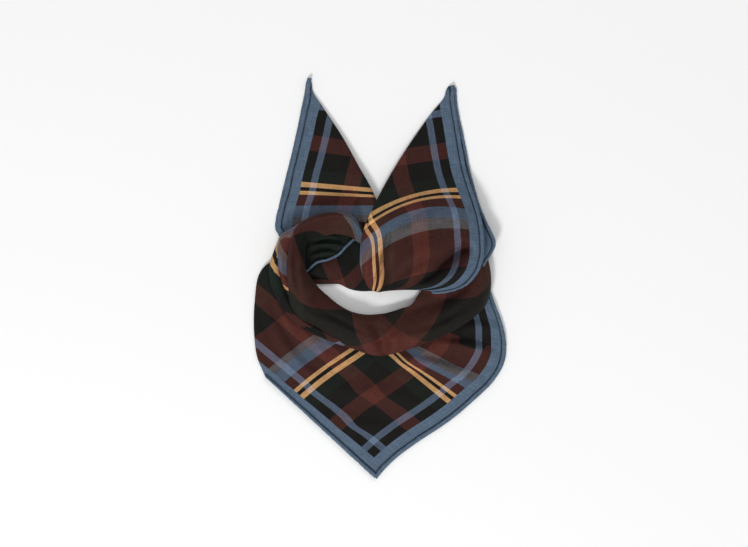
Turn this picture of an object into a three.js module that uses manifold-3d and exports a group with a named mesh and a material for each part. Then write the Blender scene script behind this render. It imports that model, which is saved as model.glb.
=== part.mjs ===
// A square scarf, folded on its diagonal, tied once into a neck loop and laid flat on a surface.
// Millimetres. X runs across the scarf, Y towards the two free ends, Z up from the surface.
// The tables measure from a point near the middle of the scarf. The finished solid is moved so that
// the origin is on the surface, at the middle of its outline.
import * as THREE from 'three';
import { mergeVertices } from 'three/addons/utils/BufferGeometryUtils.js';
import Module from 'manifold-3d';

// Sizes of the cloth
const CLOTH = 1.2; // thickness of one layer in the solid
const AIR = 0.5; // least space between two layers that lie on each other
const HEM_STEP = 5; // the front layer's hem lies this far inside the back layer's
const REST = CLOTH / 2; // middle of a layer that lies on the surface
const SECOND = REST + CLOTH + AIR; // middle of a layer that lies on the first one
const FOLD_EDGE = 0.06; // share of an end's width that bends down to its folded edge
const SHOULDER_EDGE = 0.04; // the same for the bib's left shoulder
const FOLD_MIDDLE = REST + 0.6; // middle of the front layer where it turns under at a folded edge
const END_FADE = 0.2; // share of an end's width in which its folds fade out towards an edge
const BIB_FADE = 0.12; // the same for the bib
const CORNER_FADE = 0.08; // share of the bib's rows in which its lower left hem is stepped
const BACK_REACH = 0.86; // share of the left end's rows that its back layer has
const FULL_LIFT = 0.35; // share of the left end's width in which it rises from its hem
const DEEPEST = -1; // a trough in the left end goes no deeper, so that it clears the back layer
const CROWN_POWER = 0.8; // a smaller one makes the knot's face fuller near its edges
const LIP_POWER = 1.4; // brings the columns closer at the knot's lip and the crease beside it
const NECK_HIGH = 7; // how far the upper edge behind the neck stands above the surface
const MERGED = 1e-4; // points that are closer become one

// The cloth wound up inside the knot, an egg: its half sizes, its turn in radians and its middle
const CORE = { long: 40, wide: 26, high: 8, turn: 0.25, x: 30, y: 28, z: 9.5 };

// Each table has a row for each section of the cloth, from its free end to where it is hidden.
// hemX, hemY: the hem of the back layer. foldX, foldY: the diagonal fold. lift: middle of the front
// layer above the surface.
const LEFT_END = [
  { hemX: -74, hemY: 202, foldX: -70, foldY: 201, lift: 2.4 },
  { hemX: -76, hemY: 190, foldX: -68, foldY: 189, lift: 2.4 },
  { hemX: -79, hemY: 175, foldX: -57, foldY: 171, lift: 3.0 },
  { hemX: -84, hemY: 150, foldX: -38, foldY: 142, lift: 4.4 },
  { hemX: -90, hemY: 124, foldX: -23, foldY: 115, lift: 6.0 },
  { hemX: -96, hemY: 100, foldX: -10, foldY: 92, lift: 7.6 },
  { hemX: -102, hemY: 75, foldX: -3, foldY: 75, lift: 8.6 },
  { hemX: -106, hemY: 55, foldX: -1, foldY: 60, lift: 8.0 },
  { hemX: -104, hemY: 37, foldX: -1, foldY: 48, lift: 6.0 },
  { hemX: -94, hemY: 18, foldX: -2, foldY: 38, lift: 5.0 },
  { hemX: -74, hemY: 7, foldX: -3, foldY: 31, lift: 5.4 },
];

// The right end's back layer. lift: its own middle.
const RIGHT_END_BACK = [
  { hemX: 72.5, hemY: 194.5, foldX: 67.5, foldY: 193, lift: 0.6 },
  { hemX: 74, hemY: 182, foldX: 63, foldY: 182, lift: 0.6 },
  { hemX: 76, hemY: 169, foldX: 51, foldY: 167, lift: 0.6 },
  { hemX: 80, hemY: 150, foldX: 36, foldY: 146, lift: 0.6 },
  { hemX: 84, hemY: 130, foldX: 21, foldY: 123, lift: 0.6 },
  { hemX: 88, hemY: 108, foldX: 7, foldY: 99, lift: 1.6 },
  { hemX: 94, hemY: 85, foldX: 0, foldY: 82, lift: 5.0 },
  { hemX: 103, hemY: 60, foldX: -2, foldY: 65, lift: 10.0 },
  { hemX: 113, hemY: 36, foldX: 0, foldY: 48, lift: 15.0 },
  { hemX: 103, hemY: 17, foldX: 10, foldY: 30, lift: 15.5 },
];

// The right end's front layer, which goes on as the knot's puffed face. inX, inY: the diagonal fold
// and then the knot's left and lower edge. hemX, hemY: its hem, which sweeps round the knot. bow: how
// far the middle of the row arches up. inLift, crown, hemLift: heights at the two edges, and what the
// middle adds to them.
const KNOT_FACE = [
  { inX: 67.5, inY: 193, hemX: 70, hemY: 193, bow: 0, inLift: 2.3, crown: 0, hemLift: 2.3 },
  { inX: 63.5, inY: 182, hemX: 70, hemY: 182, bow: 0, inLift: 2.3, crown: 0, hemLift: 2.3 },
  { inX: 51, inY: 167, hemX: 72, hemY: 170, bow: 0, inLift: 3.0, crown: 0.3, hemLift: 2.3 },
  { inX: 36, inY: 146, hemX: 75, hemY: 152, bow: 0, inLift: 4.8, crown: 0.8, hemLift: 2.4 },
  { inX: 21, inY: 123, hemX: 78, hemY: 132, bow: 0, inLift: 7.4, crown: 1.5, hemLift: 2.8 },
  { inX: 7, inY: 99, hemX: 82, hemY: 111, bow: 1, inLift: 10.5, crown: 2.5, hemLift: 4.5 },
  { inX: -8, inY: 70, hemX: 86, hemY: 93, bow: 7, inLift: 15.5, crown: 5, hemLift: 8 },
  { inX: -16, inY: 48, hemX: 91, hemY: 77, bow: 14, inLift: 20, crown: 9, hemLift: 12 },
  { inX: -18, inY: 28, hemX: 97, hemY: 61, bow: 20, inLift: 22, crown: 13, hemLift: 16 },
  { inX: -14.5, inY: 7, hemX: 101, hemY: 43, bow: 12, inLift: 20, crown: 17, hemLift: 18.5 },
  { inX: -9, inY: -8, hemX: 100, hemY: 26, bow: 8, inLift: 15, crown: 19, hemLift: 19.5 },
  { inX: -2, inY: -11.5, hemX: 93, hemY: 9, bow: 4, inLift: 12, crown: 16, hemLift: 20 },
  { inX: 4, inY: -11, hemX: 81, hemY: -1, bow: 2, inLift: 10, crown: 12, hemLift: 20 },
  { inX: 11, inY: -10, hemX: 61, hemY: -9, bow: 1, inLift: 9, crown: 9, hemLift: 20 },
  { inX: 20, inY: -8, hemX: 43, hemY: -6, bow: 1, inLift: 9, crown: 6, hemLift: 18 },
  { inX: 27, inY: -4, hemX: 32, hemY: -2, bow: 0, inLift: 11, crown: 3, hemLift: 14 },
];

// The rolled band of the neck loop, from the knot round the left side and across the front.
// outX, outY: its outer edge. inX, inY: the edge beside the neck hole. base: its underside. rise: how
// high it stands on that. crest: where it is highest, as a share of its width from the outer edge.
// hollow: the shape from there to the inner edge, full below 1 and sunken above it.
const BAND = [
  { outX: -4, outY: 64, inX: -8, inY: 36, base: 8, rise: 12, crest: 0.35, hollow: 1.2 },
  { outX: -30, outY: 69, inX: -35, inY: 36, base: 8, rise: 16, crest: 0.26, hollow: 1.5 },
  { outX: -51, outY: 69.5, inX: -54, inY: 44, base: 8, rise: 17, crest: 0.24, hollow: 1.6 },
  { outX: -72, outY: 64, inX: -66, inY: 42, base: 8, rise: 16, crest: 0.3, hollow: 1.4 },
  { outX: -90, outY: 55, inX: -75, inY: 36, base: 7.5, rise: 15, crest: 0.4, hollow: 1 },
  { outX: -103, outY: 40, inX: -77, inY: 26, base: 6.5, rise: 15, crest: 0.55, hollow: 0.7 },
  { outX: -110, outY: 19, inX: -76, inY: 13, base: 4.6, rise: 17, crest: 0.6, hollow: 0.7 },
  { outX: -111, outY: -1, inX: -71, inY: 1, base: 3.6, rise: 17, crest: 0.56, hollow: 0.8 },
  { outX: -105, outY: -20, inX: -60, inY: -10, base: 3.4, rise: 17, crest: 0.5, hollow: 0.9 },
  { outX: -92, outY: -36, inX: -46, inY: -20, base: 3.4, rise: 16, crest: 0.44, hollow: 0.9 },
  { outX: -71, outY: -50, inX: -32, inY: -29, base: 3.4, rise: 15, crest: 0.4, hollow: 0.9 },
  { outX: -41, outY: -65, inX: -17, inY: -32.5, base: 3.4, rise: 14, crest: 0.4, hollow: 0.9 },
  { outX: -9, outY: -75.5, inX: 3, inY: -31.5, base: 3.4, rise: 13, crest: 0.38, hollow: 1 },
  { outX: 21, outY: -72, inX: 21, inY: -27, base: 3.4, rise: 14, crest: 0.34, hollow: 1.1 },
  { outX: 51, outY: -60, inX: 34, inY: -21, base: 3.4, rise: 15, crest: 0.28, hollow: 1.3 },
  { outX: 76, outY: -47, inX: 41, inY: -12, base: 3.4, rise: 16, crest: 0.24, hollow: 1.6 },
  { outX: 96, outY: -29, inX: 49, inY: 0, base: 3.4, rise: 15, crest: 0.2, hollow: 1.8 },
  { outX: 108, outY: -8, inX: 59, inY: 12, base: 3.0, rise: 13, crest: 0.2, hollow: 1.8 },
  { outX: 110, outY: 12, inX: 67, inY: 25, base: 2.6, rise: 10, crest: 0.24, hollow: 1.4 },
  { outX: 105, outY: 30, inX: 69, inY: 40, base: 2.4, rise: 8, crest: 0.3, hollow: 1 },
  { outX: 89, outY: 48, inX: 59, inY: 48, base: 2.4, rise: 7, crest: 0.4, hollow: 1 },
];

// The section of the band as a path. across is a share of its width from the outer edge, and over is
// millimetres above its underside. The path starts inside, comes out under the outer edge, goes over
// the crest and turns back in under the inner edge.
const BAND_INSIDE = [
  { across: 0.62, over: 3.1 },
  { across: 0.35, over: 3.1 },
  { across: 0.1, over: 3.2 },
];
const BAND_UNDER = [
  { across: 0.9, over: 0.7 },
  { across: 0.6, over: 0.6 },
  { across: 0.26, over: 0.6 },
];
const BAND_OVER = [0.0, 0.06, 0.16, 0.3, 0.45, 0.6, 0.75, 0.88, 0.96, 1.0];
const BAND_EDGE = 4.4; // height of the rolled edges above the underside
const BAND_ROUND = 0.6; // power of the outer shoulder: a smaller one is fuller

// The bib's front layer in rows that run from the right hem up to the left shoulder or in under the
// band. hemX, hemY: the right hem. endX, endY: the far end. lift: its middle, at the far end.
const BIB = [
  { hemX: -9, hemY: -193, endX: -117, endY: -93, lift: 2.4 },
  { hemX: 3, hemY: -182, endX: -123, endY: -76, lift: 2.6 },
  { hemX: 19, hemY: -169, endX: -126, endY: -50, lift: 3.2 },
  { hemX: 38, hemY: -157, endX: -124, endY: -22, lift: 3.6 },
  { hemX: 58, hemY: -144, endX: -119, endY: 5, lift: 4.0 },
  { hemX: 77, hemY: -130, endX: -104, endY: 16, lift: 4.0 },
  { hemX: 96, hemY: -113, endX: -78, endY: -6, lift: 3.0 },
  { hemX: 112, hemY: -98, endX: -48, endY: -26, lift: 2.5 },
  { hemX: 121, hemY: -80, endX: -14, endY: -36, lift: 2.5 },
  { hemX: 123, hemY: -62, endX: 22, endY: -31, lift: 2.5 },
  { hemX: 118, hemY: -42, endX: 45, endY: -14, lift: 2.5 },
  { hemX: 111, hemY: -22, endX: 62, endY: 6, lift: 2.5 },
  { hemX: 105, hemY: 0, endX: 72, endY: 22, lift: 2.5 },
];

// The band of cloth behind the neck hole. topX, topY: its hem, which stands up a little in the loop.
// lowX, lowY: the edge beside the neck hole.
const NECK_BACK = [
  { topX: -76, topY: 6, lowX: -74, lowY: 3 },
  { topX: -64, topY: 17, lowX: -62, lowY: 0 },
  { topX: -50, topY: 21, lowX: -50, lowY: -2 },
  { topX: -36, topY: 32, lowX: -33, lowY: -7 },
  { topX: -20, topY: 44, lowX: -12, lowY: -10.5 },
  { topX: 0, topY: 46, lowX: 8, lowY: -9 },
];

// Folds, each a soft ridge, or a trough where high is below nought, along a bowed line.
const BIB_FOLDS = [
  { fromX: -114, fromY: 0, toX: -42, toY: -92, bow: -10, wide: 8, high: 2.6 },
  { fromX: -122, fromY: -24, toX: -70, toY: -108, bow: -8, wide: 7, high: 2.0 },
  { fromX: -94, fromY: -20, toX: -30, toY: -88, bow: -6, wide: 6, high: -1.4 },
  { fromX: 20, fromY: -80, toX: 108, toY: -104, bow: 7, wide: 8, high: 3.0 },
  { fromX: 52, fromY: -66, toX: 124, toY: -74, bow: 8, wide: 7, high: 3.0 },
  { fromX: 86, fromY: -44, toX: 122, toY: -48, bow: 3, wide: 6, high: 2.0 },
  { fromX: 66, fromY: -116, toX: 106, toY: -104, bow: 0, wide: 4, high: -1.0 },
  { fromX: -80, fromY: -118, toX: 60, toY: -130, bow: 6, wide: 10, high: 1.2 },
  { fromX: -40, fromY: -150, toX: 20, toY: -152, bow: 3, wide: 7, high: 0.8 },
];
const KNOT_FOLDS = [
  { fromX: 10, fromY: 54, toX: -6, toY: -16, bow: 1, wide: 6, high: -7 },
  { fromX: -6, fromY: 56, toX: -12, toY: -10, bow: -4, wide: 5, high: 4 },
  { fromX: 20, fromY: -8, toX: 92, toY: 38, bow: -3, wide: 9, high: -4 },
  { fromX: 46, fromY: 4, toX: 94, toY: 36, bow: 0, wide: 10, high: -8 },
  { fromX: 2, fromY: 10, toX: 84, toY: 50, bow: 8, wide: 12, high: 4 },
  { fromX: 4, fromY: -6, toX: 60, toY: 24, bow: 5, wide: 8, high: 4 },
];
const LEFT_END_FOLDS = [
  { fromX: -92, fromY: 24, toX: -20, toY: 40, bow: 5, wide: 5, high: 2.4 },
  { fromX: -92, fromY: 46, toX: -18, toY: 52, bow: 6, wide: 5, high: 2.0 },
];
const BAND_FOLDS = [
  { fromX: -101, fromY: 44, toX: -90, toY: -40, bow: -5, wide: 3.5, high: -4 },
  { fromX: -84, fromY: -34, toX: -30, toY: -66, bow: -2, wide: 4, high: -3.5 },
  { fromX: -8, fromY: -36, toX: 2, toY: -78, bow: 0, wide: 12, high: -3.5 },
  { fromX: -76, fromY: -22, toX: -14, toY: -52, bow: 4, wide: 6, high: 1.5 },
];

// A value of one column between the rows of a table: at runs from 0 at the first row to 1 at the last.
function along(rows, column, at) {
  const place = THREE.MathUtils.clamp(at, 0, 1) * (rows.length - 1);
  const row = Math.min(Math.floor(place), rows.length - 2);
  const part = place - row;
  const value = (k) => rows[THREE.MathUtils.clamp(k, 0, rows.length - 1)][column];
  const [a, b, c, d] = [value(row - 1), value(row), value(row + 1), value(row + 2)];
  const slope = (c - a) / 2;
  const bend = a - 2.5 * b + 2 * c - d / 2;
  const twist = (3 * (b - c) + d - a) / 2;
  return b + part * (slope + part * (bend + part * twist));
}

// The height that the folds of a table add at a point.
function relief(folds, x, y) {
  let sum = 0;
  for (const fold of folds) {
    const dx = fold.toX - fold.fromX;
    const dy = fold.toY - fold.fromY;
    const length = Math.hypot(dx, dy);
    const share = ((x - fold.fromX) * dx + (y - fold.fromY) * dy) / (length * length);
    if (share <= 0 || share >= 1) continue;
    const aside = ((y - fold.fromY) * dx - (x - fold.fromX) * dy) / length;
    const off = (aside - fold.bow * 4 * share * (1 - share)) / fold.wide;
    sum += fold.high * Math.exp(-off * off) * Math.sin(Math.PI * share);
  }
  return sum;
}

// 1 inside a layer, falling smoothly to 0 over the given share at an edge.
function fade(distance, share) {
  return THREE.MathUtils.smoothstep(distance, 0, share);
}

// A closed sheet round a surface: surface(s, t) sets the point at s along and t across, both 0 to 1.
function sheet(surface, rows, columns) {
  const middle = [];
  for (let i = 0; i <= rows; i++) {
    for (let j = 0; j <= columns; j++) {
      middle.push(surface(i / rows, j / columns, new THREE.Vector3()));
    }
  }
  const at = (i, j) => {
    const row = THREE.MathUtils.clamp(i, 0, rows);
    return middle[row * (columns + 1) + THREE.MathUtils.clamp(j, 0, columns)];
  };
  const points = [];
  for (const side of [1, -1]) {
    for (let i = 0; i <= rows; i++) {
      for (let j = 0; j <= columns; j++) {
        const down = new THREE.Vector3().subVectors(at(i + 1, j), at(i - 1, j));
        const across = new THREE.Vector3().subVectors(at(i, j + 1), at(i, j - 1));
        const out = down.cross(across).setLength((side * CLOTH) / 2);
        const point = out.add(at(i, j));
        points.push(point.x, point.y, Math.max(point.z, 0));
      }
    }
  }
  const layer = (rows + 1) * (columns + 1);
  const corner = (i, j) => i * (columns + 1) + j;
  const faces = [];
  const quad = (a, b, c, d) => faces.push(a, b, c, a, c, d);
  for (let i = 0; i < rows; i++) {
    for (let j = 0; j < columns; j++) {
      const ring = [corner(i, j), corner(i + 1, j), corner(i + 1, j + 1), corner(i, j + 1)];
      quad(...ring);
      quad(...ring.map((k) => k + layer).reverse());
    }
  }
  for (let i = 0; i < rows; i++) {
    quad(corner(i + 1, 0), corner(i, 0), corner(i, 0) + layer, corner(i + 1, 0) + layer);
    const [a, b] = [corner(i, columns), corner(i + 1, columns)];
    quad(b + layer, a + layer, a, b);
  }
  for (let j = 0; j < columns; j++) {
    quad(corner(0, j), corner(0, j + 1), corner(0, j + 1) + layer, corner(0, j) + layer);
    const [a, b] = [corner(rows, j), corner(rows, j + 1)];
    quad(b, a, a + layer, b + layer);
  }
  const geometry = new THREE.BufferGeometry();
  geometry.setAttribute('position', new THREE.Float32BufferAttribute(points, 3));
  geometry.setIndex(faces);
  return geometry;
}

// Between the hem and the fold of an end's row.
function endPoint(rows, s, t, out) {
  out.x = THREE.MathUtils.lerp(along(rows, 'hemX', s), along(rows, 'foldX', s), t);
  out.y = THREE.MathUtils.lerp(along(rows, 'hemY', s), along(rows, 'foldY', s), t);
  return out;
}

function leftEndBack(s, t, out) {
  endPoint(LEFT_END, s * BACK_REACH, t, out);
  out.z = REST;
  return out;
}

function leftEndFront(s, t, out) {
  const width = endPoint(LEFT_END, s, 0, new THREE.Vector3()).distanceTo(endPoint(LEFT_END, s, 1, out));
  const inset = Math.min(HEM_STEP / width, 0.45);
  endPoint(LEFT_END, s, THREE.MathUtils.lerp(inset, 1, t), out);
  const folds = relief(LEFT_END_FOLDS, out.x, out.y);
  const lift = THREE.MathUtils.lerp(SECOND, along(LEFT_END, 'lift', s), fade(t, FULL_LIFT));
  const high = lift + Math.max(folds, DEEPEST) * fade(t, END_FADE);
  out.z = THREE.MathUtils.lerp(FOLD_MIDDLE, high, fade(1 - t, FOLD_EDGE));
  return out;
}

function rightEndBack(s, t, out) {
  endPoint(RIGHT_END_BACK, s, t, out);
  out.z = along(RIGHT_END_BACK, 'lift', s);
  return out;
}

function knotFace(s, place, out) {
  const t = place ** LIP_POWER;
  const row = (column) => along(KNOT_FACE, column, s);
  const [inX, inY, hemX, hemY] = ['inX', 'inY', 'hemX', 'hemY'].map(row);
  const length = Math.max(Math.hypot(hemX - inX, hemY - inY), 1);
  const arch = row('bow') * 4 * t * (1 - t);
  out.x = THREE.MathUtils.lerp(inX, hemX, t) - (arch * (hemY - inY)) / length;
  out.y = THREE.MathUtils.lerp(inY, hemY, t) + (arch * (hemX - inX)) / length;
  const crown = row('crown') * Math.sin(Math.PI * t) ** CROWN_POWER;
  const folds = relief(KNOT_FOLDS, out.x, out.y);
  out.z = THREE.MathUtils.lerp(row('inLift'), row('hemLift'), t) + crown + folds;
  return out;
}

function band(s, t, out) {
  const row = (column) => along(BAND, column, s);
  const [base, rise, crest] = ['base', 'rise', 'crest'].map(row);
  const [outX, outY, inX, inY] = ['outX', 'outY', 'inX', 'inY'].map(row);
  const plan = (across) => [
    THREE.MathUtils.lerp(outX, inX, across),
    THREE.MathUtils.lerp(outY, inY, across),
  ];
  const over = (across) => {
    const outer = Math.sin((Math.PI / 2) * Math.min(across / crest, 1)) ** BAND_ROUND;
    const inner = Math.cos((Math.PI / 2) * Math.max((across - crest) / (1 - crest), 0));
    const round = across < crest ? outer : Math.max(inner, 0) ** row('hollow');
    const [x, y] = plan(across);
    const folds = relief(BAND_FOLDS, x, y) * fade(Math.min(across, 1 - across), END_FADE);
    return BAND_EDGE + (rise - BAND_EDGE) * round + folds;
  };
  const path = [
    ...BAND_INSIDE.map((point) => [point.across, point.over]),
    ...BAND_OVER.map((across) => [across, over(across)]),
    ...BAND_UNDER.map((point) => [point.across, point.over]),
  ];
  const points = path.map(([across, high]) => new THREE.Vector3(...plan(across), base + high));
  return new THREE.CatmullRomCurve3(points, false, 'centripetal').getPoint(t, out);
}

function bibPoint(s, t, out, wider) {
  const [hemX, hemY] = [along(BIB, 'hemX', s), along(BIB, 'hemY', s)];
  const [endX, endY] = [along(BIB, 'endX', s), along(BIB, 'endY', s)];
  const length = Math.hypot(endX - hemX, endY - hemY);
  const reach = t - ((1 - t) * wider) / length;
  out.x = THREE.MathUtils.lerp(hemX, endX, reach);
  out.y = THREE.MathUtils.lerp(hemY, endY, reach);
  return out;
}

function bibFront(s, t, out) {
  bibPoint(s, t, out, 0);
  const lift = THREE.MathUtils.lerp(SECOND, along(BIB, 'lift', s), t);
  const folds = relief(BIB_FOLDS, out.x, out.y) * fade(Math.min(s * 2, 1 - t), BIB_FADE);
  const high = Math.max(lift + folds, SECOND);
  out.z = THREE.MathUtils.lerp(FOLD_MIDDLE, high, fade(1 - t, SHOULDER_EDGE));
  return out;
}

function bibBack(s, t, out) {
  bibPoint(s, t, out, HEM_STEP);
  const aside = HEM_STEP * (1 - fade(s, CORNER_FADE));
  out.x -= aside * Math.SQRT1_2;
  out.y -= aside * Math.SQRT1_2;
  out.z = REST;
  return out;
}

function neckBack(s, t, out) {
  out.x = THREE.MathUtils.lerp(along(NECK_BACK, 'lowX', s), along(NECK_BACK, 'topX', s), t);
  out.y = THREE.MathUtils.lerp(along(NECK_BACK, 'lowY', s), along(NECK_BACK, 'topY', s), t);
  out.z = REST + (NECK_HIGH - REST) * Math.sin((Math.PI / 2) * t);
  return out;
}

function knotCore() {
  const geometry = new THREE.SphereGeometry(1, 20, 12);
  geometry.scale(CORE.long, CORE.wide, CORE.high);
  geometry.rotateZ(CORE.turn);
  geometry.translate(CORE.x, CORE.y, CORE.z);
  return geometry;
}

const wasm = await Module();
wasm.setup();

function solid(geometry) {
  for (const name of Object.keys(geometry.attributes)) {
    if (name !== 'position') geometry.deleteAttribute(name);
  }
  const merged = mergeVertices(geometry, MERGED);
  const mesh = new wasm.Mesh({
    numProp: 3,
    vertProperties: merged.attributes.position.array,
    triVerts: new Uint32Array(merged.index.array),
  });
  return new wasm.Manifold(mesh);
}

// The layers of the cloth, with the rows and columns that each one's folds need
const LAYERS = [
  { surface: bibBack, rows: 12, columns: 8 },
  { surface: bibFront, rows: 18, columns: 16 },
  { surface: leftEndBack, rows: 10, columns: 4 },
  { surface: leftEndFront, rows: 18, columns: 8 },
  { surface: rightEndBack, rows: 12, columns: 5 },
  { surface: knotFace, rows: 30, columns: 22 },
  { surface: band, rows: 34, columns: 20 },
  { surface: neckBack, rows: 8, columns: 4 },
];
const layers = LAYERS.map((layer) => sheet(layer.surface, layer.rows, layer.columns));
const joined = [...layers, knotCore()].map(solid).reduce((whole, layer) => whole.add(layer));
const result = joined.getMesh();
const geometry = new THREE.BufferGeometry();
geometry.setAttribute('position', new THREE.BufferAttribute(result.vertProperties, 3));
geometry.setIndex(new THREE.BufferAttribute(result.triVerts, 1));
geometry.computeBoundingBox();
const centre = geometry.boundingBox.getCenter(new THREE.Vector3());
geometry.translate(-centre.x, -centre.y, 0);

const cloth = new THREE.MeshStandardMaterial({ color: 0x2c2826, roughness: 0.85, metalness: 0 });
const scarf = new THREE.Mesh(geometry, cloth);
scarf.name = 'scarf';

const group = new THREE.Group();
group.add(scarf);
export default group;
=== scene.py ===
# %% [markdown]
# # A square scarf, folded and tied into a neck loop
# The real thing is one square of fine wool and silk with a plain border and a rolled hem. It is
# folded on its diagonal and tied once. The two long corners stand up above the knot, and the square
# corner hangs below as a bib. The lesson builds that one cloth as it lies: the bib, the wound band of
# the loop, the two ends and the puffed face of the knot, all of them thin sheets.

# %% Open the frame
import math

import bmesh
import bpy
import numpy as np
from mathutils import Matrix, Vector, noise


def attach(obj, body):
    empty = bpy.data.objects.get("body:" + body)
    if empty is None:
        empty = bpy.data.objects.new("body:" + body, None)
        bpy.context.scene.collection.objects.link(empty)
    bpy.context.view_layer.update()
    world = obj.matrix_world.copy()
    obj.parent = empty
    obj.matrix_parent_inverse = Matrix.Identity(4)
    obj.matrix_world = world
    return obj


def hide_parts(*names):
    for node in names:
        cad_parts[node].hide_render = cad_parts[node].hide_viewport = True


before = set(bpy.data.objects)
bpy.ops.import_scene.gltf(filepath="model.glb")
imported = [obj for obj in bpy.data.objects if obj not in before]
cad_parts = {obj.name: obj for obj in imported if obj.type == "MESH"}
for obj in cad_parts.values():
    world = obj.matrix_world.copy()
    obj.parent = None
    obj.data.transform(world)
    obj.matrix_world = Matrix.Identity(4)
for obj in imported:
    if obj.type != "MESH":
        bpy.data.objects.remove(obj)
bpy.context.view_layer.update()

# %% [markdown]
# ## Sizes
# A tailor measures cloth in millimetres, so the tables below do too, and one factor makes them metres.
# They count from a point near the middle of the scarf, and a small shift brings them to the origin.
# The sizes of the hem and the border are the ones that the eye checks first, so they have names.

# %% Sizes of the cloth
MM = 0.001
SHIFT = np.array((-0.8142, -1.0337, 0.0))  # from the tables' point to the origin
SIDE = 700.0  # the cut square
THICK = 0.5  # the cloth
FLOOR = 0.35  # middle of a layer that lies on the surface
SECOND = 1.5  # middle of a layer that lies on the first one
BORDER = 20.5  # plain border, from the raw edge inside the roll
ROLL_WIDE = 3.8  # the rolled hem, across
ROLL_HIGH = 2.6  # and from below to above
UP = np.array((0.0, 0.0, 1.0))
print("cut square", SIDE, "border", BORDER, "rolled hem", ROLL_WIDE)

# %% [markdown]
# ## Reading a table between its rows
# Every stretch of cloth is described by a short table with a row for each section. Straight lines
# between the rows would show as facets, so the value between two rows comes from a cubic curve that
# passes through all of them. Its slope at a row is that from the row before to the row after.


# %% Curves through a table
def along(table, column, at):
    values = np.array([row[table[0].index(column)] for row in table[1:]], float)
    last = len(values) - 1
    place = np.clip(at, 0, 1) * last
    row = np.minimum(place.astype(int), last - 1)
    part = place - row
    a, b, c, d = (values[np.clip(row + k, 0, last)] for k in (-1, 0, 1, 2))
    slope = (c - a) / 2
    bend = a - 2.5 * b + 2 * c - d / 2
    twist = (3 * (b - c) + d - a) / 2
    return b + part * (slope + part * (bend + part * twist))


def spot(table, x, y, at):
    return np.stack([along(table, x, at), along(table, y, at)], -1)


# %% [markdown]
# ## Folds and rumples
# A fold is a soft ridge or trough along a bowed line. It fades out at both ends and is highest at its
# peak, so a table of folds has a row for each. Between the folds the cloth is never quite flat, and a
# smooth noise gives that. Each use of it has a seed of its own, so no two stretches rumple alike.

# %% Folds and rumples
SEED_STEP = 7.3  # keeps the noises of two seeds apart


def relief(folds, x, y):
    total = np.zeros_like(x)
    for x0, y0, x1, y1, bow, wide, high, peak in folds[1:]:
        dx, dy = x1 - x0, y1 - y0
        length = math.hypot(dx, dy)
        share = np.clip(((x - x0) * dx + (y - y0) * dy) / length**2, 0, 1)
        aside = ((y - y0) * dx - (x - x0) * dy) / length
        off = (aside - bow * 4 * share * (1 - share)) / wide
        total += high * np.exp(-(off**2)) * np.sin(math.pi * share ** (math.log(0.5) / math.log(peak)))
    return total


def rumple(x, y, size, seed):
    flat = np.stack([x.ravel() / size, y.ravel() / size, np.full(x.size, seed * SEED_STEP)], 1)
    return np.array([noise.noise(Vector(point)) for point in flat]).reshape(x.shape)


def rumples(x, y, table):
    return sum(rumple(x, y, size, seed) * high for size, seed, high in table[1:])


# %% [markdown]
# ## Small helpers
# The nets of points are arrays with a row for each section and a column for each step across it. These
# helpers work on whole nets at once, which is short to write and quick to run.

# %% Helpers for nets
TINY = 1e-9  # stands in for a length of nothing


def shares(net):
    return np.meshgrid(np.linspace(0, 1, net[0]), np.linspace(0, 1, net[1]), indexing="ij")


def smooth(value, start, end):
    share = np.clip((value - start) / (end - start), 0, 1)
    return share * share * (3 - 2 * share)


def mix(a, b, share):
    return a + (b - a) * share


def unit(vectors):
    return vectors / np.maximum(np.linalg.norm(vectors, axis=-1, keepdims=True), TINY)


def lengths(points, axis):
    steps = np.linalg.norm(np.diff(points, axis=axis), axis=-1)
    start = np.zeros_like(np.take(steps, [0], axis=axis))
    return np.concatenate([start, np.cumsum(steps, axis=axis)], axis=axis)


# %% [markdown]
# ## From a net of points to cloth
# Blender's own grid operator makes the faces, and each vertex of it then moves to its place in the
# net. The pattern is woven into the cloth, so every vertex also gets its place on the flat square, in
# metres, as its UV. The lengths are measured on the shaped cloth, which keeps the plaid from being
# stretched where the cloth bends.

# %% Grid of cloth
HALF = 0.5  # a new grid reaches this far to each side
pieces = []


def cloth(name, points, flat):
    rows, columns = points.shape[:2]
    grid = bmesh.new()
    bmesh.ops.create_grid(grid, x_segments=columns - 1, y_segments=rows - 1, size=HALF)
    layer = grid.loops.layers.uv.new("cloth")
    places = {}
    for vertex in grid.verts:
        i = round((vertex.co.y + HALF) * (rows - 1))
        j = round((vertex.co.x + HALF) * (columns - 1))
        places[vertex] = (i, j)
        vertex.co = (points[i, j] + SHIFT) * MM
    for face in grid.faces:
        face.smooth = True
        for corner in face.loops:
            corner[layer].uv = flat[places[corner.vert]] * MM
    pieces.append(grid)
    print(name, rows, "by", columns, "area", round(sum(f.calc_area() for f in grid.faces), 4))


# %% [markdown]
# ## The rolled hem
# A maker rolls the raw edge between two fingers and stitches it down, so the hem is a small soft tube
# that lies on the cloth with a groove beside it. A bevel or a separate cord would miss that groove.
# Here the net gets extra columns that go round the tube, and small stitches nip it every few
# millimetres.

# %% Rolled hem
ROLL_TURN = np.linspace(0.14, 1.75, 11) * math.pi  # places of the columns round the tube
ROLL_CLOTH = 7.2  # cloth that the roll takes up
STITCH = 6.5  # from stitch to stitch
STITCH_SPREAD = 0.8  # square of the length that a stitch draws in
NIP = 0.2  # how much a stitch narrows the tube
UNEVEN = 0.16  # how much its thickness changes
UNEVEN_EVERY = 9.0  # and over what length


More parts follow.
